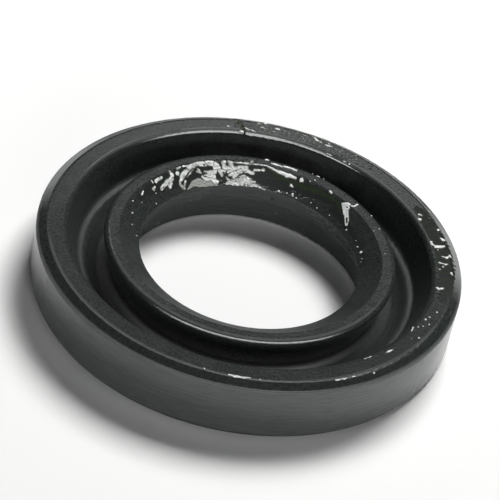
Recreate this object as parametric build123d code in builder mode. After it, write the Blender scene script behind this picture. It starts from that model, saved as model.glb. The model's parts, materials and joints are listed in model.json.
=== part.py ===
"""Radial shaft seal for a 25 mm shaft in a 47 mm housing, 7 mm wide.

A rubber body is moulded round a pressed steel ring.  The rim grips the housing, the base
joins it to a thin neck, and the neck carries the lip that rubs on the shaft.  The open
groove between rim and lip faces the oil, and a narrow ledge runs round its outer wall.
Lengths are in millimetres.  The origin lies on the shaft axis in the flat base, and +Z
points to the oil side.
"""

from build123d import *
import os
from math import radians, tan

os.makedirs("parts", exist_ok=True)

# %% Driving dimensions: the shaft and the housing that the seal fits

shaft_diameter = 25.0
housing_diameter = 47.0
seal_width = 7.0

# %% Driving dimensions: the rim, which seats in the housing

rim_face_width = 2.2  # flat ring on the oil side
rim_chamfer_width = 1.1  # starts the seal into its housing, measured along the radius
rim_chamfer_drop = 0.65  # measured along the axis
base_chamfer_width = 0.35  # small chamfer on the air side, measured along the radius
base_chamfer_height = 0.7  # measured along the axis

# %% Driving dimensions: the oil groove between rim and lip

groove_wall_batter = 1.45  # how far the outer wall leans in, from its mouth to the ledge
ledge_depth = 3.65  # below the rim's face
ledge_width = 0.65
groove_depth = 5.1  # below the rim's face, where the neck starts
groove_bottom_share = 0.5  # flat part of the gap between the ledge and the neck
groove_rounding_share = 0.22  # no rounding in the groove takes more than this of the same gap

# %% Driving dimensions: the lip

lip_interference = 0.7  # the free lip is this much smaller than the shaft, on diameter
contact_band = 0.25  # worn flat on the sealing edge
sealing_edge_drop = 1.8  # below the rim's face
lip_cone_run = 2.4  # radial length of the oil-side cone
lip_face_width = 1.8  # ring on top of the lip, up to its outer corner before rounding
lip_face_drop = 0.2  # below the rim's face
air_side_angle = 27.0  # degrees between the air-side cone and the axis
shaft_clearance = 0.85  # radial gap between the shaft and the plain bore under the lip
neck_thickness = 1.5

# %% Driving dimensions: the pressed steel ring and the rubber that covers it

ring_sheet = 1.0  # thickness
ring_bend_radius = 0.6  # inside the bend
cover_outside = 1.0  # rubber between the ring and the housing
cover_air_side = 0.5  # rubber under the flange
cover_rim_end = 1.2  # rubber over the ring's upper edge
cover_bore = 3.4  # rubber between the flange and the plain bore

# %% Driving dimensions: edge rounding

rim_inner_rounding = 0.7
rim_outer_rounding = 0.8
rim_chamfer_foot_rounding = 0.12
base_edge_rounding = 0.25
ledge_inner_rounding = 0.8
ledge_wall_rounding = 0.45
groove_bottom_rounding = 0.8
lip_edge_rounding = 0.6
bore_blend_rounding = 2.0
bore_edge_rounding = 0.2

# %% Driving dimensions: a cut across the rim's face, a handling mark

nick_angle = 101.5  # degrees about the axis, at the middle of the rim's face
nick_skew = 3.0  # degrees that the cut turns while it crosses the rim
nick_outer_width = 0.95
nick_outer_depth = 0.85
nick_inner_width = 0.45
nick_inner_depth = 0.55
nick_lean = 0.2  # share of the width by which the bottom of the cut is off its middle
nick_overrun = 0.1  # the cut runs this far past both edges of the rim

# %% Radii and heights that follow

outer_radius = housing_diameter / 2
rim_face_radius = outer_radius - rim_chamfer_width
groove_mouth_radius = rim_face_radius - rim_face_width
ledge_outer_edge = groove_mouth_radius - groove_wall_batter
ledge_inner_edge = ledge_outer_edge - ledge_width
ledge_height = seal_width - ledge_depth
groove_bottom_height = seal_width - groove_depth

bore_radius = shaft_diameter / 2 + shaft_clearance
neck_outer_radius = bore_radius + neck_thickness

# The groove's bottom and its corners fit between the rim's ledge and the lip's neck.
ledge_to_neck = ledge_inner_edge - neck_outer_radius
groove_bottom_outer_edge = neck_outer_radius + groove_bottom_share * ledge_to_neck
largest_groove_rounding = groove_rounding_share * ledge_to_neck
groove_corner_rounding = min(groove_bottom_rounding, largest_groove_rounding)
ledge_edge_rounding = min(ledge_inner_rounding, largest_groove_rounding)

edge_radius = (shaft_diameter - lip_interference) / 2
edge_height = seal_width - sealing_edge_drop
band_foot_height = edge_height - contact_band
lip_face_inner_radius = edge_radius + lip_cone_run
lip_face_outer_radius = lip_face_inner_radius + lip_face_width
lip_face_height = seal_width - lip_face_drop
cone_foot_height = band_foot_height - (bore_radius - edge_radius) / tan(radians(air_side_angle))

ring_outer_radius = outer_radius - cover_outside
ring_inner_radius = ring_outer_radius - ring_sheet
ring_top = seal_width - cover_rim_end
flange_top = cover_air_side + ring_sheet
flange_inner_radius = bore_radius + cover_bore

# %% Steel ring: one L-shaped section turned about the axis

with BuildPart() as stiffening_ring:
    with BuildSketch(Plane.XZ):
        with BuildLine():
            FilletPolyline(
                (flange_inner_radius, cover_air_side),
                (ring_outer_radius, cover_air_side),
                (ring_outer_radius, ring_top),
                (ring_inner_radius, ring_top),
                (ring_inner_radius, flange_top),
                (flange_inner_radius, flange_top),
                radius=[0, ring_bend_radius + ring_sheet, 0, 0, ring_bend_radius, 0],
                close=True,
            )
        make_face()
    revolve(axis=Axis.Z)
stiffening_ring.part.label = "stiffening_ring"

# %% Rubber body: one section from the base up over the rim, the groove and the lip

rubber_outline = [
    ((bore_radius, 0), bore_edge_rounding),
    ((outer_radius - base_chamfer_width, 0), base_edge_rounding),
    ((outer_radius, base_chamfer_height), base_edge_rounding),
    ((outer_radius, seal_width - rim_chamfer_drop), rim_chamfer_foot_rounding),
    ((rim_face_radius, seal_width), rim_outer_rounding),
    ((groove_mouth_radius, seal_width), rim_inner_rounding),
    ((ledge_outer_edge, ledge_height), ledge_wall_rounding),
    ((ledge_inner_edge, ledge_height), ledge_edge_rounding),
    ((groove_bottom_outer_edge, groove_bottom_height), groove_corner_rounding),
    ((neck_outer_radius, groove_bottom_height), groove_corner_rounding),
    ((lip_face_outer_radius, lip_face_height), lip_edge_rounding),
    ((lip_face_inner_radius, lip_face_height), 0),
    ((edge_radius, edge_height), 0),
    ((edge_radius, band_foot_height), 0),
    ((bore_radius, cone_foot_height), bore_blend_rounding),
]

# The cut narrows and gets shallower from the rim's outer edge to the groove.
nick_outer_radius = outer_radius + nick_overrun
nick_inner_radius = groove_mouth_radius - nick_overrun
nick_ends = [
    (nick_outer_radius, nick_angle + nick_skew / 2, nick_outer_width, nick_outer_depth),
    (nick_inner_radius, nick_angle - nick_skew / 2, nick_inner_width, nick_inner_depth),
]

with BuildPart() as rubber_body:
    with BuildSketch(Plane.XZ):
        with BuildLine():
            FilletPolyline(
                [point for point, radius in rubber_outline],
                radius=[radius for point, radius in rubber_outline],
                close=True,
            )
        make_face()
    revolve(axis=Axis.Z)

    # The ring's own solid leaves the cavity that holds it.
    add(stiffening_ring.part, mode=Mode.SUBTRACT)

    for radius, angle, width, depth in nick_ends:
        outward = Vector(1, 0, 0).rotate(Axis.Z, angle)
        at_rim_face = outward * radius + Vector(0, 0, seal_width)
        across = Plane(origin=at_rim_face, x_dir=Vector(0, 0, 1).cross(outward), z_dir=outward)
        with BuildSketch(across):
            with BuildLine():
                Polyline((-width / 2, 0), (nick_lean * width, -depth), (width / 2, 0), close=True)
            make_face()
    loft(mode=Mode.SUBTRACT)
rubber_body.part.label = "rubber_body"

# %% One STEP file for each piece

export_step(stiffening_ring.part, "parts/stiffening_ring.step")
export_step(rubber_body.part, "parts/rubber_body.step")
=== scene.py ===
# %% [markdown]
# # A radial shaft seal with a smear of old grease
#
# The seal is a ring of black nitrile rubber moulded round a pressed steel ring.  Its rim seats
# in a housing, and its conical lip rubs on a turning shaft.  The solids come from the CAD model
# and stay as they are.  This lesson adds what the solids can't have: the finish of the rubber
# and the grease that a used seal carries, with a camera, a pale floor and soft light.
#
# Lengths are in metres, as the frame's are, and `mm` turns a drawing size into metres.

import json
import math

import bpy
import numpy as np
from mathutils import Matrix, Vector


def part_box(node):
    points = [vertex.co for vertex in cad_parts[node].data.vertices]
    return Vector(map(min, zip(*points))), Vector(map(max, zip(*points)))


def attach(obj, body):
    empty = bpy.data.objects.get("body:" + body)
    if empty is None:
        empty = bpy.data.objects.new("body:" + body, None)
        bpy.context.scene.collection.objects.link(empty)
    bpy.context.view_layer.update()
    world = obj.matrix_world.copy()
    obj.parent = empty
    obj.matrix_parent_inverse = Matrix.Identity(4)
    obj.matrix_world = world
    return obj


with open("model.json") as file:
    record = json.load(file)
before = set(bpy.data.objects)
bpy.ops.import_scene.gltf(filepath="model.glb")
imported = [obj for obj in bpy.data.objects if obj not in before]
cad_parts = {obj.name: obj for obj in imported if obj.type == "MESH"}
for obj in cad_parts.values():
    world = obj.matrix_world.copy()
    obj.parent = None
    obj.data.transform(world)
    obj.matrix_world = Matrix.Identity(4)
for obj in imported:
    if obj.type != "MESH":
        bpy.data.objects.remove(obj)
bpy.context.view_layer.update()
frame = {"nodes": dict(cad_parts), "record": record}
mm = 0.001

seal_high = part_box("rubber_body")[1]
seal_width = seal_high.z
outer_radius = seal_high.x
print(f"seal: {2 * outer_radius / mm:.1f} mm outside, {seal_width / mm:.1f} mm wide")

# %% Sizes on the oil side that the finish and the grease follow
shaft_lip = next(m for m in frame["record"]["mounts"] if m["name"] == "shaft_lip")
sealing_radius = shaft_lip["dims"]["r_mm"] * mm
sealing_height = shaft_lip["pos_m"][2] + shaft_lip["dims"]["length_mm"] * mm / 2
lip_cone_run = 2.4 * mm
lip_face_width = 1.8 * mm
lip_face_drop = 0.2 * mm
lip_edge_rounding = 0.6 * mm
rim_chamfer_width = 1.1 * mm
rim_chamfer_drop = 0.65 * mm
rim_face_width = 2.2 * mm
rim_inner_rounding = 0.7 * mm
rim_outer_rounding = 0.8 * mm

lip_face_height = seal_width - lip_face_drop
lip_face_inner_radius = sealing_radius + lip_cone_run
lip_face_outer_radius = lip_face_inner_radius + lip_face_width
rim_face_radius = outer_radius - rim_chamfer_width
groove_mouth_radius = rim_face_radius - rim_face_width
print(f"lip's face from {lip_face_inner_radius / mm:.2f} to {lip_face_outer_radius / mm:.2f} mm, "
      f"rim's face from {groove_mouth_radius / mm:.2f} to {rim_face_radius / mm:.2f} mm in radius")

# %% [markdown]
# ## Camera
#
# A long lens some 27 cm away keeps the circles of the ring close to true ellipses.  The camera
# looks down at a little under 40 degrees and is rolled, so the ring seems to lean to one side.
# A camera looks along its own -Z, so its axes are built from that direction: back, right and up.

# %% Place the camera
view_elevation = math.radians(38.24)
view_roll = math.radians(12.51)
view_distance = 271.2 * mm
view_target = Vector((-0.02 * mm, -1.39 * mm, seal_width))

back = Vector((0, -math.cos(view_elevation), math.sin(view_elevation)))
level_right = Vector((1, 0, 0))
level_up = back.cross(level_right)
right = level_right * math.cos(view_roll) + level_up * math.sin(view_roll)
up = back.cross(right)

camera = bpy.data.objects.new("camera", bpy.data.cameras.new("camera"))
camera.data.sensor_width = 36.0
camera.data.lens = 180.0
camera.data.clip_start = 10 * mm
camera.matrix_world = Matrix.Translation(view_target + back * view_distance) @ Matrix(
    (right, up, back)
).transposed().to_4x4()
bpy.context.scene.collection.objects.link(camera)
bpy.context.scene.camera = camera
bpy.context.scene.view_settings.view_transform = "Standard"
print("camera at", [round(c / mm) for c in camera.location], "mm")

# %% [markdown]
# ## Node and colour helpers
#
# A material is a small network.  One function adds a node: it takes the node's type, values for
# its plain settings, and a dictionary for its inputs, where a socket makes a link and anything
# else is a value.  Colours are chosen as sRGB hex, as a paint chart gives them, and one function
# turns them into the linear light that the renderer adds up.

# %% Helpers for materials


def colour(hex_code):
    """sRGB hex to linear RGBA: c / 12.92 for dark values, else ((c + 0.055) / 1.055) ** 2.4."""
    srgb = [int(hex_code[i:i + 2], 16) / 255 for i in (1, 3, 5)]
    return [c / 12.92 if c <= 0.04045 else ((c + 0.055) / 1.055) ** 2.4 for c in srgb] + [1.0]


def node(tree, kind, inputs=None, stops=(), **settings):
    """Add a node, set its properties, then link or set its inputs by name or number.

    `stops` is a list of (position, colour), for a node that has a colour ramp.
    """
    new = tree.nodes.new(kind)
    for key, value in settings.items():
        setattr(new, key, value)
    for key, value in (inputs or {}).items():
        if isinstance(value, bpy.types.NodeSocket):
            tree.links.new(value, new.inputs[key])
        else:
            new.inputs[key].default_value = value
    for position, value in stops[2:]:
        new.color_ramp.elements.new(position)
    for k, (position, value) in enumerate(stops):
        new.color_ramp.elements[k].position = position
        new.color_ramp.elements[k].color = value
    return new


def material(name):
    """A new material with a bare Principled shader; returns the material, its tree and shader."""
    new = bpy.data.materials.new(name)
    new.use_nodes = True
    new.node_tree.nodes.clear()
    shader = node(new.node_tree, "ShaderNodeBsdfPrincipled")
    node(new.node_tree, "ShaderNodeOutputMaterial", {"Surface": shader.outputs["BSDF"]})
    return new, new.node_tree, shader


def pattern_scale(size):
    """Texture scale at which one feature of a noise is `size` metres across."""
    return 1.0 / size


print("white paper is", [round(c, 3) for c in colour("#f4f4f2")[:3]])

# %% [markdown]
# ## Floor and light
#
# The seal lies on white paper.  Black rubber shows little colour of its own, so what it reflects
# makes the picture, and its light comes in two kinds.  Two lamps light the scene, one high behind
# the seal and one low in front, and no face mirrors them.  The low one reaches the seal's outside
# and the far wall of its bore, but not the paper inside the ring, where the shadow stays dark.
#
# Two cards are seen in reflections alone.  The back card greys the flat faces and the chamfer
# behind, and it hangs a little too high for faces that look straight up in front, which stay dark.
# The front card draws the thin bright line on the rim's inner edge behind and on the lip's edge in
# front, and it wakes up the grease.  Each lamp is set by its direction, its size and its radiance,
# where 1 is the radiance of white paper in full light.

# %% Floor
floor_size = 2.4
corner = floor_size / 2
floor_mesh = bpy.data.meshes.new("floor")
floor_mesh.from_pydata(
    [(-corner, -corner, 0), (corner, -corner, 0), (corner, corner, 0), (-corner, corner, 0)],
    [], [(0, 1, 2, 3)],
)
floor = bpy.data.objects.new("floor", floor_mesh)
bpy.context.scene.collection.objects.link(floor)

paper, tree, shader = material("matt_white_paper")
shader.inputs["Base Color"].default_value = colour("#fbfbfa")
shader.inputs["Roughness"].default_value = 0.9
shader.inputs["Specular IOR Level"].default_value = 0.1
floor_mesh.materials.append(paper)
print(f"floor: {floor_size} m square, {paper.name}")

# %% World light: dim, a little paler near the horizon, and white for the camera alone
horizon_light = 0.08
ceiling_light = 0.02
ceiling_starts = math.sin(math.radians(25))

world = bpy.data.worlds.new("room")
bpy.context.scene.world = world
world.use_nodes = True
tree = world.node_tree
tree.nodes.clear()
direction = node(tree, "ShaderNodeTexCoord").outputs["Generated"]
height = node(tree, "ShaderNodeSeparateXYZ", {"Vector": direction}).outputs["Z"]
sky = node(tree, "ShaderNodeMapRange", {
    "Value": height, "From Min": 0.0, "From Max": ceiling_starts,
    "To Min": horizon_light, "To Max": ceiling_light,
}, interpolation_type="SMOOTHSTEP").outputs["Result"]
seen = node(tree, "ShaderNodeLightPath").outputs["Is Camera Ray"]
strength = node(tree, "ShaderNodeMath", {0: sky, 1: seen}, operation="MAXIMUM").outputs["Value"]
background = node(tree, "ShaderNodeBackground", {"Color": colour("#ffffff"), "Strength": strength})
node(tree, "ShaderNodeOutputWorld", {"Surface": background.outputs["Background"]})
print(f"world: {horizon_light} at the horizon, {ceiling_light} overhead")

# %% Lamps
lamp_distance = 0.7


def softbox(name, azimuth, elevation, wide, high, radiance, mirrored=True, lights=True):
    """An area lamp facing the seal, `wide` by `high` degrees as seen from it.

    A lamp of radiance L and area A has a power of pi * A * L.  One that isn't `mirrored` leaves
    no highlight, and one that doesn't light anything is seen in reflections alone.
    """
    lamp = bpy.data.lights.new(name, "AREA")
    lamp.shape = "RECTANGLE"
    lamp.size = 2 * lamp_distance * math.tan(math.radians(wide / 2))
    lamp.size_y = 2 * lamp_distance * math.tan(math.radians(high / 2))
    lamp.energy = math.pi * lamp.size * lamp.size_y * radiance
    a, e = math.radians(azimuth), math.radians(elevation)
    out = Vector((math.cos(e) * math.cos(a), math.cos(e) * math.sin(a), math.sin(e)))
    holder = bpy.data.objects.new(name, lamp)
    holder.matrix_world = (Matrix.Translation(out * lamp_distance)
                           @ out.to_track_quat("Z", "Y").to_matrix().to_4x4())
    holder.visible_camera = False
    holder.visible_glossy = mirrored
    holder.visible_diffuse = lights
    bpy.context.scene.collection.objects.link(holder)


softbox("back_lamp", azimuth=72, elevation=51, wide=26, high=24, radiance=20.8, mirrored=False)
softbox("front_lamp", azimuth=285, elevation=13, wide=30, high=12, radiance=9, mirrored=False)
softbox("back_card", azimuth=88, elevation=58.5, wide=44, high=24, radiance=3.0, lights=False)
softbox("front_card", azimuth=283, elevation=52, wide=102, high=26, radiance=11, lights=False)

# %% [markdown]
# ## Rubber
#
# Moulded nitrile rubber is black because it is filled with soot.  The mould was spark eroded, so
# the skin has a fine dull grain, and handling polishes it unevenly, in cloudy patches.  The skin
# is duller where the oil has been wiped off the cone, where it has dried on the groove's floor and
# ledge, and behind on the rim's chamfer, which scrapes into the housing.  At both sides behind,
# the chamfer is painted pale as a painted reflection.  The outside is ground to size, which leaves
# it greyer and smoother, with fine lines round it, and the bore's wall is painted much the same
# lighter grey, apart from one small round spot of oil.  As the rubber cooled it sank a little, so
# the rim's face slopes inwards by five or six degrees and the lip's face by two or three.
#
# All of it depends on the place on the seal: noise in object coordinates gives grain and clouds,
# and the distance from the axis and the height tell the cone, the groove and the rim apart.  The
# heights that feed the Bump node are real ones, in metres.

# %% Moulded nitrile rubber
grain_size = 0.28 * mm
grain_depth = 0.02 * mm
cloud_size = 2.5 * mm
rim_slope = math.tan(math.radians(5.5))
lip_slope = math.tan(math.radians(2.5))
grinding_line = 0.12 * mm
spot_azimuth = math.radians(85)
spot_radius = 12.7 * mm
spot_height = 3.86 * mm
spot_size = 0.2 * mm
spot_edge = 0.22 * mm

rubber, tree, shader = material("moulded_nitrile_rubber")
place = node(tree, "ShaderNodeTexCoord").outputs["Object"]
parts = node(tree, "ShaderNodeSeparateXYZ", {"Vector": place})
depth, height = parts.outputs["Y"], parts.outputs["Z"]
level = node(tree, "ShaderNodeVectorMath", {0: place, 1: (1, 1, 0)}, operation="MULTIPLY")
radius = node(tree, "ShaderNodeVectorMath", {0: level.outputs["Vector"]}, operation="LENGTH")
radius = radius.outputs["Value"]
grain = node(tree, "ShaderNodeTexNoise", {
    "Vector": place, "Scale": pattern_scale(grain_size), "Detail": 3.0, "Roughness": 0.6})
clouds = node(tree, "ShaderNodeTexNoise", {
    "Vector": place, "Scale": pattern_scale(cloud_size), "Detail": 4.0, "Roughness": 0.62})
tone = node(tree, "ShaderNodeValToRGB", {"Fac": grain.outputs["Fac"]}, stops=[
    (0.35, colour("#232625")), (0.65, colour("#343837"))]).outputs["Color"]
print(f"clouds {cloud_size / mm:.1f} mm across in the polish of {rubber.name}")


def within(value, low, high, edge):
    """1 where a value lies between two bounds, falling to 0 over `edge` outside them."""
    middle, half = (low + high) / 2, (high - low) / 2
    off = node(tree, "ShaderNodeMath", {0: value, 1: middle}, operation="SUBTRACT")
    off = node(tree, "ShaderNodeMath", {0: off.outputs["Value"]}, operation="ABSOLUTE")
    return node(tree, "ShaderNodeMapRange", {
        "Value": off.outputs["Value"], "From Min": half, "From Max": half + edge,
        "To Min": 1.0, "To Max": 0.0}).outputs["Result"]


def raised(rest, amount, *masks):
    """The value `rest`, plus `amount` where all the masks are 1."""
    for mask in masks:
        amount = node(tree, "ShaderNodeMath", {0: mask, 1: amount}, operation="MULTIPLY")
        amount = amount.outputs["Value"]
    return node(tree, "ShaderNodeMath", {0: rest, 1: amount}, operation="ADD").outputs["Value"]


def covering(radii, levels=None, side=None):
    """The masks of a zone: its radii, its heights above the base, and the side it is limited to.

    `radii` and `levels` list the lowest, the highest and the width of the soft edge, in mm.
    """
    masks = [within(radius, *(length * mm for length in radii))]
    if levels is not None:
        masks.append(within(height, *(length * mm for length in levels)))
    return masks if side is None else masks + [side]


# %% Relief: the grain, fainter on the ground outside, and faces that slope a little
outside = within(radius, outer_radius - 0.05 * mm, outer_radius + mm, 0.1 * mm)
grain_here = raised(grain_depth, -0.85 * grain_depth, outside)

rim_rise = node(tree, "ShaderNodeMapRange", {
    "Value": radius, "From Min": groove_mouth_radius, "From Max": rim_face_radius,
    "To Min": 0.0, "To Max": rim_face_width * rim_slope}).outputs["Result"]
lip_rise = node(tree, "ShaderNodeMapRange", {
    "Value": radius, "From Min": lip_face_inner_radius, "From Max": lip_face_outer_radius,
    "To Min": 0.0, "To Max": lip_face_width * lip_slope}).outputs["Result"]
slopes = node(tree, "ShaderNodeMath", {0: rim_rise, 1: lip_rise}, operation="ADD")
heights = node(tree, "ShaderNodeMath", {
    0: grain.outputs["Fac"], 1: grain_here, 2: slopes.outputs["Value"]}, operation="MULTIPLY_ADD")
relief = node(tree, "ShaderNodeBump", {
    "Height": heights.outputs["Value"], "Strength": 1.0, "Distance": 1.0})
print(f"relief: grain {grain_depth / mm:.2f} mm deep, {grain_size / mm:.2f} mm across")

# %% Gloss: cloudy all over, and duller or smoother in some zones
dulling = node(tree, "ShaderNodeMapRange", {
    "Value": clouds.outputs["Fac"], "From Min": 0.3, "From Max": 0.7,
    "To Min": 0.2, "To Max": 0.28}).outputs["Result"]
front_side = within(depth, -outer_radius, -9 * mm, 3 * mm)
back_side = within(depth, 5 * mm, 24 * mm, 6 * mm)

# Each zone: its name, the change in roughness, then its radii, heights and side.
zones = [
    ("cone, wiped", 0.3, (11, 14.3, 0.3), None, front_side),
    ("groove's floor, dried oil", 0.35, (14.8, 19.2, 0.1), (1, 2.4, 0.5), None),
    ("ledge, dried oil", 0.15, (17.5, 19.2, 0.3), (3, 3.7, 0.3), None),
    ("rim's chamfer, scraped", 0.22, (22.7, 24, 0.3), (6.5, 7, 0.2), back_side),
    ("rim's chamfer, smooth", -0.12, (22.4, 23.2, 0.1), (6.5, 7, 0.1), front_side),
    ("foot of the chamfer", 0.6, (23.3, 23.6, 0.15), (6.2, 6.45, 0.15), None),
    ("start of the lip's rounding", 0.3, (15.5, 15.76, 0.05), (6.7, 7, 0.1), front_side),
    ("start of the rim's outer rounding", 0.25, (22.1, 22.35, 0.06), (6.8, 7, 0.1), front_side),
    ("rim's inner edge, polished", -0.1, (20.0, 20.24, 0.03), (6.5, 7, 0.1), back_side),
    ("rim's face beside that edge", 0.2, (20.3, 20.5, 0.06), (6.8, 7, 0.1), back_side),
]
roughness = dulling
for name, change, radii, levels, side in zones:
    roughness = raised(roughness, change, *covering(radii, levels, side))
print("zones:", ", ".join(zone[0] for zone in zones))

# %% Colour: ground outside, lighter bore wall, a painted reflection on the chamfer, a spot of oil
# The bore's wall below the sealing edge is painted a lighter grey, much like the ground outside.
lighter_bore_wall = raised(0.0, 1.0, *covering((10, 13.45, 0.1), (0, 4.85, 0.15)))
roughness = raised(roughness, -0.06, outside)
rings = node(tree, "ShaderNodeMapping", {
    "Vector": place, "Scale": (0.05, 0.05, 1.0)}, vector_type="POINT").outputs["Vector"]
lines = node(tree, "ShaderNodeTexNoise", {
    "Vector": rings, "Scale": pattern_scale(grinding_line), "Detail": 2.0, "Roughness": 0.7})
ground = node(tree, "ShaderNodeValToRGB", {"Fac": lines.outputs["Fac"]}, stops=[
    (0.3, colour("#434746")), (0.7, colour("#565a59"))]).outputs["Color"]
greyer = raised(outside, 0.85, lighter_bore_wall)
tone = node(tree, "ShaderNodeMix", {0: greyer, 6: tone, 7: ground}, data_type="RGBA").outputs[2]
# Painted reflection: the rim's chamfer is painted pale at both sides behind, standing in for low
# light from behind.
chamfer_reflection_side = within(depth, 3 * mm, 9 * mm, 5 * mm)
chamfer_painted_reflection = raised(0.0, 0.6, *covering((22.6, 23.5, 0.15), (6.4, 6.9, 0.12), chamfer_reflection_side))
tone = node(tree, "ShaderNodeMix", {0: chamfer_painted_reflection, 6: tone, 7: colour("#9a9c9b")},
            data_type="RGBA").outputs[2]
spot_centre = Matrix.Rotation(spot_azimuth, 3, "Z") @ Vector((spot_radius, 0, spot_height))
spot_distance = node(tree, "ShaderNodeVectorMath", {0: place, 1: spot_centre},
                     operation="DISTANCE").outputs["Value"]
oiled = raised(0.0, 0.7, within(spot_distance, 0, spot_size, spot_edge))
tone = node(tree, "ShaderNodeMix", {0: oiled, 6: tone, 7: colour("#191b1a")},
            data_type="RGBA").outputs[2]
print(f"colour: grinding lines {grinding_line / mm:.2f} mm apart, spot of oil at "
      f"{[round(c / mm, 1) for c in spot_centre]} mm")

# %% Put the finish on the seal
tree.links.new(tone, shader.inputs["Base Color"])
tree.links.new(roughness, shader.inputs["Roughness"])
tree.links.new(relief.outputs["Normal"], shader.inputs["Normal"])
shader.inputs["IOR"].default_value = 1.52

seal = frame["nodes"]["rubber_body"]
seal.material_slots[0].material = rubber
print(f"rubber: {rubber.name}, {len(tree.nodes)} nodes")

# %% [markdown]
# ## Stiffening ring
#
# The steel ring is pressed from sheet and phosphated, so that the rubber bonds to it.  That gives
# a dark grey crystalline surface with little shine.  The rubber hides the whole ring.

# %% Phosphated steel
crystal_size = 0.15 * mm

steel, tree, shader = material("phosphated_steel")
place = node(tree, "ShaderNodeTexCoord").outputs["Object"]
crystals = node(tree, "ShaderNodeTexVoronoi", {
    "Vector": place, "Scale": pattern_scale(crystal_size)}, feature="F1")
tone = node(tree, "ShaderNodeValToRGB", {"Fac": crystals.outputs["Distance"]}, stops=[
    (0.0, colour("#6a6b6c")), (0.9, colour("#8b8c8e"))]).outputs["Color"]
tree.links.new(tone, shader.inputs["Base Color"])
shader.inputs["Metallic"].default_value = 1.0
shader.inputs["Roughness"].default_value = 0.55
frame["nodes"]["stiffening_ring"].material_slots[0].material = steel
print("steel:", steel.name)

# %% [markdown]
# ## Places on the skin
#
# Grease lies on the turned surface of the seal, so its places are given as a drawing would give
# them: an azimuth round the axis and a length along the section.  The section is a chain of
# straight sides with round corners.  It is cut into short steps, each step gets the direction
# that leads straight out of the rubber, and the two are read off at any length along it.

# %% Sections of the oil side
step = 0.05 * mm


def section(corners, roundings):
    """Points along a chain of sides with round corners, `step` apart.

    A corner of turn t and rounding R starts R * tan(t / 2) before the corner and ends as far
    after it; between the two the chain follows a circle of radius R.
    """
    corners = np.array(corners, float)
    chain = [corners[0]]
    for before, corner, after, rounding in zip(corners, corners[1:], corners[2:], roundings):
        come = (corner - before) / np.hypot(*(corner - before))
        leave = (after - corner) / np.hypot(*(after - corner))
        side = np.array([come[1], -come[0]])
        turn = math.acos(float(come @ leave))
        centre = corner - come * rounding * math.tan(turn / 2) + side * rounding
        for angle in np.linspace(0, turn, 7):
            chain.append(centre - side * rounding * math.cos(angle)
                         + come * rounding * math.sin(angle))
    chain.append(corners[-1])
    chain = np.array(chain)
    length = np.concatenate([[0.0], np.cumsum(np.hypot(*np.diff(chain, axis=0).T))])
    stations = np.arange(0, length[-1], step)
    return np.stack([np.interp(stations, length, chain[:, 0]),
                     np.interp(stations, length, chain[:, 1])], axis=-1)


def skin(line, along, azimuth):
    """Points and outward normals of a turned surface, for arrays of equal shape.

    The normal is the section's direction (dr, dz) turned a quarter turn to (-dz, dr).
    """
    stations = np.arange(len(line)) * step
    across = np.gradient(line, axis=0) @ np.array([[0.0, 1.0], [-1.0, 0.0]])
    across /= np.hypot(across[:, 0], across[:, 1])[:, None]
    radius, height = (np.interp(along, stations, line[:, k]) for k in (0, 1))
    outward, upward = (np.interp(along, stations, across[:, k]) for k in (0, 1))
    point = np.stack([radius * np.cos(azimuth), radius * np.sin(azimuth), height], axis=-1)
    normal = np.stack([outward * np.cos(azimuth), outward * np.sin(azimuth), upward], axis=-1)
    return point, normal


# Each section runs a millimetre down the wall beside it, and that wall leans.
wall_shown = 1 * mm
lip_wall_lean = 0.3 * mm
groove_wall_lean = 0.4 * mm
cone_top_rounding = 0.05 * mm
lip_section = section(
    [(sealing_radius, sealing_height),
     (lip_face_inner_radius, lip_face_height),
     (lip_face_outer_radius, lip_face_height),
     (lip_face_outer_radius - lip_wall_lean, lip_face_height - wall_shown)],
    [cone_top_rounding, lip_edge_rounding])
rim_section = section(
    [(groove_mouth_radius - groove_wall_lean, seal_width - wall_shown),
     (groove_mouth_radius, seal_width),
     (rim_face_radius, seal_width),
     (outer_radius, seal_width - rim_chamfer_drop)],
    [rim_inner_rounding, rim_outer_rounding])
print(f"sections: lip {len(lip_section)} steps, rim {len(rim_section)} steps")

# %% [markdown]
# ## Films of grease
#
# A smear of grease is a thin layer with an uneven top and a ragged outline.  A grid over the skin
# carries its thickness: where that is more than nothing there is grease, and elsewhere the cells
# are dropped.  The underside lies just inside the rubber, and walls join it to the top along the
# outline, so each film is a closed solid.
#
# Random unevenness comes from a sum of waves: cosines of random heading and phase, whose
# wavelengths are near one size, add up to smooth hills and hollows of about that size.

# %% Build a mesh from arrays
sink = 0.02 * mm


def closed_film(name, top, bottom, kept, milk, finish):
    """A closed solid between two grids of points, made of the grid's kept cells.

    A wall stands along each side of a kept cell that no kept neighbour shares: its two ends
    appear there in one order only.  Each point's paleness, from 0 to 1, is for the shader: the
    grease's milkiness together with painted highlight.
    """
    number = np.arange(milk.size).reshape(milk.shape)
    cells = np.stack([number[:-1, :-1], number[:-1, 1:], number[1:, 1:], number[1:, :-1]], -1)
    cells = cells[kept]
    start, end = cells.reshape(-1), np.roll(cells, -1, axis=1).reshape(-1)
    border = ~np.isin(start * milk.size + end, end * milk.size + start)
    start, end = start[border], end[border]
    walls = np.stack([end, start, start + milk.size, end + milk.size], axis=-1)
    faces = np.concatenate([cells, cells[:, ::-1] + milk.size, walls])
    vertices = np.concatenate([top.reshape(-1, 3), bottom.reshape(-1, 3)])
    used, faces = np.unique(faces, return_inverse=True)

    mesh = bpy.data.meshes.new(name)
    mesh.from_pydata(vertices[used], [], faces.reshape(-1, 4))
    mesh.polygons.foreach_set("use_smooth", np.ones(len(mesh.polygons), bool))
    layer = mesh.attributes.new("milk", "FLOAT", "POINT")
    layer.data.foreach_set("value", np.tile(milk.reshape(-1), 2)[used])
    mesh.materials.append(finish)
    piece = bpy.data.objects.new(name, mesh)
    bpy.context.scene.collection.objects.link(piece)
    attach(piece, "root")
    print(f"{name}: {len(mesh.vertices)} vertices, {len(mesh.polygons)} faces")


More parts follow.
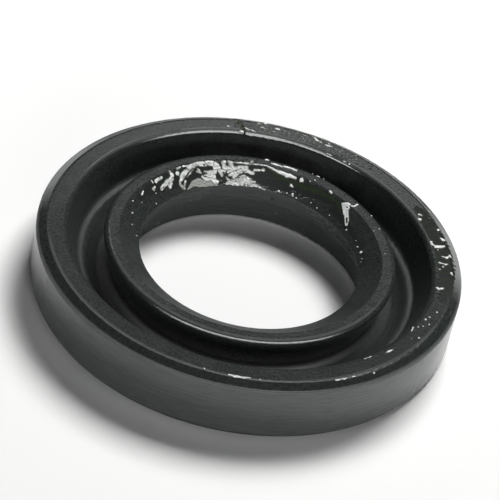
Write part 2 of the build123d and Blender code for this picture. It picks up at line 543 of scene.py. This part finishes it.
def film_on_skin(name, line, azimuth, along, thickness, milk, finish):
    """A film that follows the turned skin: its top stands `thickness` above it."""
    point, normal = skin(line, along, azimuth)
    top = point + normal * np.maximum(thickness, -sink)[..., None]
    bottom = point - normal * 2 * sink
    there = thickness > 0
    kept = there[:-1, :-1] | there[:-1, 1:] | there[1:, 1:] | there[1:, :-1]
    closed_film(name, top, bottom, kept, milk, finish)


def hills(u, v, size, random, stretch=1.0, lean=0.0, count=40):
    """Random hills of mean 0 and spread 1, about `size` across.

    The sum of `count` cosines; `stretch` draws the hills out along u, turned by `lean` radians.
    """
    heading = random.uniform(0, 2 * np.pi, count)
    number = np.pi / (size * random.uniform(0.7, 1.5, count))
    phase = random.uniform(0, 2 * np.pi, count)
    along_u = number * np.cos(heading) / stretch
    along_v = number * np.sin(heading)
    ku = along_u * math.cos(lean) - along_v * math.sin(lean)
    kv = along_u * math.sin(lean) + along_v * math.cos(lean)
    waves = sum(np.cos(a * u + b * v + c) for a, b, c in zip(ku, kv, phase))
    return waves * math.sqrt(2 / count)


def rise(value, low, high):
    """0 below `low`, 1 above `high`, and 3t^2 - 2t^3 between them."""
    t = np.clip((value - low) / (high - low), 0, 1)
    return t * t * (3 - 2 * t)


def strokes(line, azimuth, along, chains):
    """How deep each place lies inside a set of strokes: 1 on its line, 0 at its edge, -1 beyond.

    A chain lists (azimuth in degrees, radius in mm, half width in mm), and a lone entry makes a
    round spot.  Lengths are measured on the skin unrolled at its middle radius.
    """
    middle = line[:, 0].mean()
    cover = np.full(azimuth.shape, -1.0)
    for chain in chains:
        turned, radius, half = np.array(chain, float).T
        u = np.radians(turned) * middle
        v = np.interp(radius * mm, line[:, 0], np.arange(len(line)) * step)
        for k in range(max(len(chain) - 1, 1)):
            n = min(k + 1, len(chain) - 1)
            du, dv = u[n] - u[k], v[n] - v[k]
            share = (azimuth * middle - u[k]) * du + (along - v[k]) * dv
            share = share / (du * du + dv * dv + 1e-12)
            share = np.clip(share, 0, 1)
            gap = np.hypot(azimuth * middle - u[k] - share * du, along - v[k] - share * dv)
            width = (half[k] + share * (half[n] - half[k])) * mm
            cover = np.maximum(cover, 1 - gap / width)
    return cover


# %% [markdown]
# ## Grease
#
# Old grease is oil held in soap.  Thin, it is a clear film that makes the rubber under it look
# wet and nearly black, with a touch of green.  Thick, it is milky.  A value on each vertex says
# how pale the grease is, and the shader turns it into colour and gloss; that paleness is partly
# milkiness and partly painted highlight, standing in for the glints of a wet, crinkled top.

# %% Lithium grease
ripple_size = 0.3 * mm

grease, tree, shader = material("lithium_grease")
milk = node(tree, "ShaderNodeAttribute", attribute_name="milk").outputs["Fac"]
place = node(tree, "ShaderNodeTexCoord").outputs["Object"]
ripples = node(tree, "ShaderNodeTexNoise", {
    "Vector": place, "Scale": pattern_scale(ripple_size), "Detail": 2.0, "Roughness": 0.5})
# The pale stops paint the grease's milkiness and also a painted highlight for the glints of its wet
# top.
tone = node(tree, "ShaderNodeValToRGB", {"Fac": milk}, stops=[
    (0.0, colour("#272a29")), (0.25, colour("#2c3525")), (0.4, colour("#545a4a")),
    (0.7, colour("#c2c6c3")), (1.0, colour("#f8faf8"))]).outputs["Color"]
gloss = node(tree, "ShaderNodeMapRange", {
    "Value": milk, "From Min": 0.05, "From Max": 0.5, "To Min": 0.2, "To Max": 0.14,
}).outputs["Result"]
relief = node(tree, "ShaderNodeBump", {
    "Height": ripples.outputs["Fac"], "Strength": 0.6, "Distance": 0.03 * mm})
tree.links.new(tone, shader.inputs["Base Color"])
tree.links.new(gloss, shader.inputs["Roughness"])
tree.links.new(relief.outputs["Normal"], shader.inputs["Normal"])
shader.inputs["IOR"].default_value = 1.47
print("grease:", grease.name)

# %% [markdown]
# ### Grease on the lip
#
# The biggest smear lies on the cone that leads down to the sealing edge, where the shaft has
# dragged it into crinkled ridges.  Chains of points say where the grease is thick and where the
# gaps run through it, and hills of noise, themselves pushed about by broader hills, crinkle it.
# Further round, a greenish streak, a drip and a few spots lie in a clear film.

# %% Places on the lip: azimuth in degrees, radius in mm, half width in mm
clear_film_on_lip = [
    [(163, 13.9, 0.3), (150, 13.8, 0.8), (135, 13.5, 1.3), (100, 13.4, 1.6), (85, 13.4, 1.5),
     (70, 13.5, 1.0), (55, 13.9, 0.5), (48, 14.0, 0.3)],
    [(52, 13.2, 0.5), (30, 12.9, 0.35), (10, 12.8, 0.25)],
]
thick_on_lip = [
    [(128, 14.3, 0.15), (124, 14.5, 0.2), (116, 14.45, 0.2)],
    [(115, 14.35, 0.2), (114, 13.9, 0.34)],
    [(125, 14.35, 0.18), (129, 13.9, 0.22), (133.5, 13.4, 0.16)],
    [(130.5, 14.1, 0.09), (133.5, 13.65, 0.1)],
    [(135, 13.25, 0.1), (135.5, 12.9, 0.12), (134.5, 12.55, 0.15)],
    [(132, 13.15, 0.08), (133.5, 12.7, 0.08)], [(123.5, 14.0, 0.09), (123, 13.8, 0.08)],
    [(119, 13.55, 0.1), (114.5, 13.75, 0.13)], [(120, 13.3, 0.07), (115, 13.45, 0.09)],
    [(122.5, 13.2, 0.08), (120.5, 12.9, 0.16), (116.5, 13.1, 0.18)],
    [(117.5, 13.0, 0.18), (115.5, 12.55, 0.24), (115, 12.2, 0.16)],
    [(113.5, 13.9, 0.2), (112, 13.2, 0.13)], [(110.5, 14.45, 0.2), (110.5, 13.7, 0.22)],
    [(109.5, 13.8, 0.28), (107.5, 13.7, 0.34)], [(107.5, 14.5, 0.2), (107, 13.9, 0.22)],
    [(106.5, 13.2, 0.2), (103.5, 13.6, 0.22), (100, 13.85, 0.2), (96.5, 13.6, 0.14)],
    [(106, 13.85, 0.14), (103, 14.1, 0.09), (99.5, 14.15, 0.09)],
    [(108.5, 13.15, 0.07), (106.5, 13.25, 0.12)],
    [(110, 12.4, 0.1), (105, 12.6, 0.3), (101.5, 12.8, 0.4), (98, 12.65, 0.3)],
    [(96.5, 12.75, 0.09), (95, 12.8, 0.06)],
    [(97, 12.45, 0.15), (93.5, 12.45, 0.09), (89.5, 12.15, 0.05)],
    [(110, 12.95, 0.08), (108.5, 12.7, 0.08)],
    [(96, 13.95, 0.08), (94, 14.0, 0.09)], [(92.5, 14.15, 0.12), (92, 14.1, 0.12)],
    [(101, 14.5, 0.07), (98.5, 14.5, 0.09), (97.5, 14.95, 0.1)],
    [(106, 14.5, 0.05), (101, 14.5, 0.05)],
    [(133.5, 14.45, 0.1), (132, 14.55, 0.06)], [(134.5, 14.0, 0.16)],
    [(138, 14.5, 0.06), (137.5, 14.05, 0.16)], [(130.5, 14.55, 0.05), (128, 14.45, 0.06)],
    [(147.5, 14.15, 0.13), (144, 14.2, 0.14)],
    [(139, 13.7, 0.2), (140.5, 13.4, 0.2), (142, 13.1, 0.14)],
    [(141, 13.7, 0.16), (143.5, 13.5, 0.14), (147, 13.3, 0.13)],
    [(151.5, 13.6, 0.12), (150, 13.75, 0.08)],
]
# A smooth fan of grease painted mid-grey; its paleness is partly painted highlight.
pale_fan_on_lip = [
    [(132.5, 12.3, 0.1), (128, 12.7, 0.4), (125, 12.7, 0.6), (121.5, 12.5, 0.5),
     (117, 12.3, 0.33)],
    [(124.5, 13.8, 0.1), (122.5, 13.6, 0.13)], [(120.5, 13.7, 0.12), (116, 13.4, 0.16)],
    [(122, 13.35, 0.09), (118, 13.3, 0.12)],
]
gaps_on_lip = [
    [(113.5, 13.05, 0.23), (113, 12.55, 0.28), (114, 11.85, 0.23)],
    [(114, 13.65, 0.06), (113.5, 13.15, 0.12)], [(120, 14.3, 0.13)],
    [(124.5, 14.15, 0.05), (121, 14.0, 0.09), (118.5, 13.9, 0.08), (116, 14.1, 0.05)],
    [(123, 12.95, 0.05), (121, 12.65, 0.06), (118, 12.75, 0.05), (117, 12.35, 0.05)],
    [(111.5, 13.55, 0.05), (109, 13.35, 0.06), (106.5, 13.55, 0.05), (102.5, 13.95, 0.05)],
    [(105.5, 12.9, 0.06), (103.5, 13.2, 0.08), (101, 13.45, 0.08), (98, 13.3, 0.09),
     (94.5, 13.55, 0.1)],
    [(111, 13.1, 0.16), (110.5, 12.6, 0.17)], [(109, 14.35, 0.14)], [(121.5, 13.4, 0.12)],
    [(105.5, 14.25, 0.09), (101.5, 14.35, 0.09)], [(134.5, 12.95, 0.12)],
    [(98.5, 13.9, 0.07), (97, 13.8, 0.06)], [(112, 14.55, 0.05), (112, 14.0, 0.05)],
    [(109, 12.65, 0.05), (106, 12.8, 0.05)],
    [(133, 13.2, 0.06), (129.5, 13.7, 0.09), (126, 14.15, 0.06)],
]
# Streaks of grease painted pale, a painted highlight on them.
bright_streaks_on_lip = [
    [(97.5, 14.5, 0.06), (91, 14.6, 0.07), (86, 14.3, 0.14), (80.5, 14.2, 0.27),
     (76.8, 14.22, 0.12)],
    [(73.9, 14.2, 0.26)], [(77.4, 13.35, 0.17), (76.6, 13.3, 0.12)],
    [(91.6, 15.75, 0.16), (91.0, 15.75, 0.14)],
    [(89.1, 15.25, 0.1), (86.7, 15.2, 0.15), (84.4, 15.1, 0.1)],
    [(83.6, 15.3, 0.12), (81.0, 15.3, 0.16), (78.0, 15.3, 0.14)],
    [(59.4, 14.5, 0.14), (58.4, 14.45, 0.1)],
    [(68.7, 14.95, 0.1)], [(70.0, 14.45, 0.1)], [(69.4, 15.8, 0.06), (68.2, 15.85, 0.06)],
    [(66.4, 15.95, 0.08)], [(71.4, 15.9, 0.08)],
    [(46.6, 14.6, 0.1), (45.9, 14.85, 0.09), (46.2, 15.4, 0.12)],
]
# Drops of grease painted pale, a painted highlight on each.
specks_on_lip = [
    [(92.2, 12.3, 0.1)], [(89.3, 12.2, 0.09)], [(82.1, 12.42, 0.13)], [(77.7, 12.5, 0.09)],
    [(74.8, 12.6, 0.13)], [(74.3, 12.45, 0.1)], [(72.1, 12.38, 0.1)], [(63.9, 12.6, 0.07)],
    [(59.5, 12.46, 0.08)], [(51.3, 12.56, 0.08)], [(37.8, 12.67, 0.11)], [(28.3, 12.79, 0.07)],
    [(24.1, 12.65, 0.09)], [(19.5, 12.75, 0.19)], [(14.7, 12.67, 0.07)], [(12.8, 12.51, 0.07)],
    [(37.8, 15.75, 0.09)], [(29.3, 15.5, 0.08)], [(28.3, 14.75, 0.08)], [(13.0, 14.96, 0.07)],
    [(157.5, 14.05, 0.09), (159.5, 13.9, 0.1)], [(167, 14.15, 0.11)], [(155.5, 12.4, 0.1)],
    [(173.5, 13.6, 0.11)], [(163, 13.4, 0.07)], [(180.5, 13.2, 0.09)], [(186, 12.5, 0.09)],
    [(149.5, 14.4, 0.06), (149.5, 14.15, 0.07)], [(151.5, 13.2, 0.08)],
]
green_streak_on_lip = [
    [(90, 14.4, 0.15), (84, 13.75, 0.3), (74, 13.7, 0.35), (67, 13.8, 0.38), (60, 14.0, 0.3),
     (52, 14.0, 0.24), (48.5, 13.6, 0.15)],
]
# A drip of grease painted pale, partly a painted highlight.
drip_on_lip = [
    [(50.4, 14.2, 0.22), (48.0, 14.55, 0.22)],
    [(48.8, 14.2, 0.5), (44.9, 13.65, 0.36), (40.2, 13.0, 0.22)],
]
holes_in_drip = [[(47.5, 14.22, 0.13)], [(43.2, 13.43, 0.12), (41.2, 13.14, 0.13)]]
print(f"lip: {len(thick_on_lip)} thick strokes, {len(gaps_on_lip)} gaps and "
      f"{len(specks_on_lip)} specks")

# %% Grease on the lip
lip_middle = 13.4  # mm, the radius at which lengths round the lip are measured
azimuth, along = np.meshgrid(
    np.arange(math.radians(8), math.radians(190), 0.055 * mm / sealing_radius),
    np.arange(step, (len(lip_section) - 14) * step, 0.045 * mm), indexing="ij")
random = np.random.default_rng(11)
place_round, place_along = azimuth * lip_middle * mm, along

dragged_left = rise(azimuth, math.radians(122), math.radians(132))
push = 0.2 * mm
pushed_round = place_round + push * hills(place_round, place_along, 0.6 * mm, random)
pushed_along = place_along + push * hills(place_round, place_along, 0.6 * mm, random)


def dragged(size, stretch):
    """Hills drawn out the way the grease was dragged: steeply on the left, level on the right."""
    left = hills(pushed_round, pushed_along, size, random, stretch, lean=2.3)
    right = hills(pushed_round, pushed_along, size, random, stretch, lean=0.25)
    return right + dragged_left * (left - right)


crinkles = dragged(0.3 * mm, 2.0)
swirls = np.abs(dragged(0.5 * mm, 2.6) + 0.35 * dragged(0.2 * mm, 1.5))
fraying = hills(place_round, place_along, 0.35 * mm, random)
fraying += 0.4 * hills(place_round, place_along, 0.15 * mm, random)
streaming = hills(place_round, place_along, 0.16 * mm, random, stretch=0.4)
print(f"grid on the lip: {azimuth.shape[0]} by {azimuth.shape[1]} points")

# %% How deep each point of the lip lies in the strokes
clear = strokes(lip_section, azimuth, along, clear_film_on_lip) + 0.15 * fraying
thick = strokes(lip_section, azimuth, along, thick_on_lip)
fan = strokes(lip_section, azimuth, along, pale_fan_on_lip)
gaps = strokes(lip_section, azimuth, along, gaps_on_lip) + 0.15 * fraying
bright = strokes(lip_section, azimuth, along, bright_streaks_on_lip) + 0.12 * fraying
specks = strokes(lip_section, azimuth, along, specks_on_lip)
green = strokes(lip_section, azimuth, along, green_streak_on_lip) + 0.2 * fraying
drip = strokes(lip_section, azimuth, along, drip_on_lip) + 0.08 * fraying
holes = strokes(lip_section, azimuth, along, holes_in_drip)
print(f"thick grease on {np.mean(thick > 0):.0%} of the grid")

# %% Milk and thickness of the grease on the lip
creases = 1 - rise(swirls, 0.08, 0.28)
crusty = rise(thick + 0.28 * fraying + 0.36 * crinkles, -0.5, -0.15)
no_gap = 1 - rise(gaps, 0.0, 0.3)
sheet = rise(thick + 0.2 * fraying, -0.95, -0.5) * rise(thick, -0.98, -0.85)
sheet = sheet * (1 - 0.6 * creases) * no_gap
crusty = crusty * rise(thick, -0.95, -0.6) * (1 - 0.3 * creases) * no_gap
smooth = rise(fan, 0.0, 0.25) * no_gap
drop = rise(drip, 0.0, 0.3) * (1 - rise(holes, 0.0, 0.5))
rounds = np.sqrt(np.clip(np.maximum(bright, specks), 0, 1))

# Paleness on the lip: milky grease, and painted highlight on the crusts, streaks, specks, drip and
# fan.
lip_milk_and_highlight = np.maximum.reduce([
    crusty * (0.8 + 0.14 * np.clip(crinkles, -2.0, 1.2) + 0.06 * np.clip(fraying, -2.0, 1.0)),
    0.57 * sheet,
    rise(rounds, 0.0, 0.35), drop * (0.9 + 0.05 * fraying),
    smooth * (0.57 + 0.06 * np.clip(streaming, -1.5, 1.5)),
    0.26 * rise(green, -0.2, 0.6)])
lip_thickness = np.maximum.reduce([
    0.015 * mm * np.clip(4 * clear, -1, 1),
    0.04 * mm * crusty * (1 + 0.3 * crinkles),
    0.02 * mm * sheet,
    0.05 * mm * smooth + 0.006 * mm * streaming * smooth,
    0.11 * mm * rounds * (rounds > 0),
    0.09 * mm * drop,
    0.015 * mm * rise(green, -0.2, 0.6)])
film_on_skin("grease_on_lip", lip_section, azimuth, along, lip_thickness,
             np.clip(lip_milk_and_highlight, 0, 1), grease)

# %% [markdown]
# ### Grease on the rim
#
# Handling has left spots and fine flecks along the back of the rim, a wet patch with bright
# specks on its right, and a few bits of thin grease along its outer edge in front.  The pale
# colour of all of them is partly painted highlight, and a faint pale line along that edge is a
# painted highlight alone.

# %% Places on the rim: azimuth in degrees, radius in mm, half width in mm
clear_film_on_rim = [
    [(35, 21.5, 0.6), (25, 21.4, 1.1), (12, 21.5, 1.2), (0, 21.5, 1.0), (-8, 21.6, 0.4)],
]
thick_on_rim = [
    [(31.3, 20.75, 0.2), (30.9, 20.85, 0.18)], [(33.3, 21.1, 0.13), (32.4, 21.4, 0.08)],
    [(34.3, 22.6, 0.1), (33.7, 22.7, 0.08)], [(25.6, 22.2, 0.16)],
    [(19.9, 20.7, 0.17), (18.9, 20.65, 0.15)],
    [(21.6, 22.0, 0.1), (20.9, 22.2, 0.2)],
    [(17.8, 21.0, 0.3), (17.5, 21.5, 0.26), (17.7, 21.9, 0.22)],
    [(19.3, 22.6, 0.1)], [(16.2, 21.1, 0.12)], [(13.2, 21.4, 0.08), (12.7, 22.0, 0.12)],
    [(12.6, 21.9, 0.12), (13.4, 22.3, 0.2), (14.1, 22.35, 0.1)],
    [(10.2, 20.9, 0.06), (9.6, 21.6, 0.12), (9.8, 21.9, 0.06)], [(8.4, 21.3, 0.12)],
    [(6.9, 20.9, 0.1)],
    [(6.1, 22.2, 0.1), (5.2, 22.3, 0.09)],
    [(357.8, 20.62, 0.1), (357.6, 20.95, 0.2), (358.3, 21.4, 0.1)],
    [(341.8, 20.9, 0.13)], [(343.5, 21.2, 0.09)], [(338.5, 21.2, 0.1)], [(337.2, 20.85, 0.1)],
    [(333.2, 21.8, 0.13)], [(336.0, 20.45, 0.1), (334.3, 20.65, 0.09)], [(346.8, 21.6, 0.08)],
    [(340.4, 21.6, 0.08)], [(331.5, 21.3, 0.07)],
    [(323.4, 21.1, 0.05), (321.5, 21.06, 0.12), (320.4, 21.0, 0.05)],
    [(315.6, 20.7, 0.04), (313.0, 20.65, 0.06)],
    [(95.9, 22.1, 0.1), (95.5, 22.2, 0.1)], [(94.7, 22.9, 0.12)],
    [(93.9, 22.4, 0.1), (92.9, 22.45, 0.1)],
    [(94.8, 21.5, 0.09), (94.2, 21.55, 0.09), (93.8, 21.3, 0.05)],
    [(90.5, 21.8, 0.1), (89.3, 21.8, 0.12)], [(91.1, 21.1, 0.05), (90.4, 21.1, 0.05)],
    [(87.1, 22.6, 0.08), (86.6, 22.6, 0.06)], [(85.6, 22.7, 0.08)],
    [(81.9, 22.6, 0.1), (80.8, 22.6, 0.1)], [(81.6, 22, 0.06), (80.9, 22, 0.05)],
    [(78.4, 22.1, 0.09), (77.3, 21.85, 0.15), (75.9, 21.75, 0.09)],
    [(74.6, 21.6, 0.1), (73.4, 21.62, 0.12), (72.2, 21.75, 0.09)],
    [(73.7, 22.1, 0.07), (73.1, 21.7, 0.07)],
    [(76.9, 22.9, 0.12)], [(73.9, 22.9, 0.12), (73.0, 22.9, 0.1)],
    [(72.3, 20.3, 0.07), (70.7, 20.3, 0.09)], [(65.9, 20.3, 0.1), (65.2, 20.3, 0.1)],
    [(63.8, 20.3, 0.1)],
    [(102.2, 20.25, 0.06), (101.6, 20.3, 0.13), (100.4, 20.2, 0.1)],
    [(100.2, 20.95, 0.05), (98.9, 20.75, 0.1), (96.5, 20.5, 0.06)],
    [(105.5, 21.0, 0.12), (104.5, 20.9, 0.08)],
]
flecked_on_rim = [[(100.5, 21.2, 1.1), (88, 21.6, 1.1), (60, 21.7, 1.0)]]
# A painted highlight: a faint pale line along the rim's outer rounding in front.
painted_highlight_line_on_rim = [
    [(258, 22.1, 0.05), (270, 22.2, 0.06), (280, 22.2, 0.06), (293, 22.25, 0.04),
     (300, 22.4, 0.05)],
]
# Bits of grease on the same edge, painted pale as painted highlights.
thread_and_highlight_on_rim = [
    [(265, 22.15, 0.08)],
    [(271.5, 22.2, 0.08), (272.5, 22.2, 0.16), (275, 22.25, 0.15), (277.5, 22.2, 0.1)],
    [(280, 22.2, 0.08)], [(300.5, 22.5, 0.05), (302, 22.5, 0.12), (304, 22.5, 0.06)],
    [(305.5, 22.5, 0.06), (306.5, 22.5, 0.05)], [(312.5, 22.7, 0.16)],
]
print(f"rim: {len(thick_on_rim)} spots and {len(thread_and_highlight_on_rim)} pieces of thread")

# %% Grease on the rim
rim_round = 22  # mm, the radius at which lengths round the rim are measured
azimuth, along = np.meshgrid(
    np.arange(math.radians(-122), math.radians(107), 0.075 * mm / outer_radius),
    np.arange(step, (len(rim_section) - 2) * step, 0.06 * mm), indexing="ij")
place_round = azimuth * rim_round * mm
fraying = hills(place_round, along, 0.3 * mm, random)
mottle = hills(place_round, along, 0.5 * mm, random)


def turned_back(chains):
    """The same chains with their azimuths from -180 to 180 degrees."""
    return [[((turn + 180) % 360 - 180, radius, half) for turn, radius, half in chain]
            for chain in chains]


clear = strokes(rim_section, azimuth, along, clear_film_on_rim) + 0.12 * fraying + 0.1 * mottle
spots = strokes(rim_section, azimuth, along, turned_back(thick_on_rim)) + 0.2 * fraying
thread = strokes(rim_section, azimuth, along, turned_back(thread_and_highlight_on_rim)) + 0.2 * fraying
faint = strokes(rim_section, azimuth, along, turned_back(painted_highlight_line_on_rim)) + 0.3 * fraying
flecks = rise(hills(place_round, along, 0.16 * mm, random, stretch=1.5), 1.2, 1.9)
flecks = flecks * rise(strokes(rim_section, azimuth, along, flecked_on_rim), 0.0, 0.4)
rounds = np.sqrt(np.clip(np.maximum(spots, 0.7 * thread), 0, 1))

# Paleness on the rim: grease spots and bits partly painted highlight, the faint line wholly painted
# highlight.
rim_milk_and_highlight = np.maximum.reduce([
    rise(rounds, 0.0, 0.4) * (0.85 + 0.08 * fraying), 0.14 * rise(mottle, 0.0, 1.2),
    0.3 * rise(faint, -0.3, 0.5), 0.6 * flecks])
rim_thickness = np.maximum.reduce([
    0.012 * mm * np.clip(4 * clear, -1, 1), 0.09 * mm * rounds * (rounds > 0),
    0.004 * mm * np.clip(faint, -1, 1), 0.03 * mm * flecks])
film_on_skin("grease_on_rim", rim_section, azimuth, along, rim_thickness,
             np.clip(rim_milk_and_highlight, 0, 1), grease)

# %% [markdown]
# ### Grease in the cut
#
# Some grease has stayed in the cut across the rim.  It is a closed strip that follows the cut a
# little below the rim's skin and leans, so that it is deepest along the cut's steeper wall.

# %% Grease in the cut
cut_start, cut_end = math.radians(98), math.radians(105)
cut_azimuth, cut_skew = 101.5, 1.5  # degrees: at the rim's middle, and more at its outer edge
cut_half_width, cut_widening = 0.42, 0.13  # mm, likewise
rim_middle, rim_half_width = 21.85 * mm, 1.75 * mm
fill_below = 0.17 * mm
fill_bottom = 0.55 * mm
fill_slope = 0.5
azimuth, along = np.meshgrid(
    np.linspace(cut_start, cut_end, 60), np.arange(step, (len(rim_section) - 2) * step, 0.1 * mm),
    indexing="ij")
point, normal = skin(rim_section, along, azimuth)
across_rim = (np.hypot(point[..., 0], point[..., 1]) - rim_middle) / rim_half_width
off_cut = azimuth - np.radians(cut_azimuth + cut_skew * across_rim)
waves = 0.015 * mm * hills(azimuth * rim_round * mm, along, 0.5 * mm, random)
lean = np.clip(fill_slope * off_cut * rim_round * mm, -0.11 * mm, 0.2 * mm)
top = point - normal * (fill_below + lean + waves)[..., None]
bottom = point - normal * fill_bottom
in_cut = np.abs(off_cut) * rim_round * mm < (cut_half_width + cut_widening * across_rim) * mm
kept = in_cut[:-1, :-1] & in_cut[:-1, 1:] & in_cut[1:, 1:] & in_cut[1:, :-1]
closed_film("grease_in_cut", top, bottom, kept, np.full(azimuth.shape, 0.4), grease)
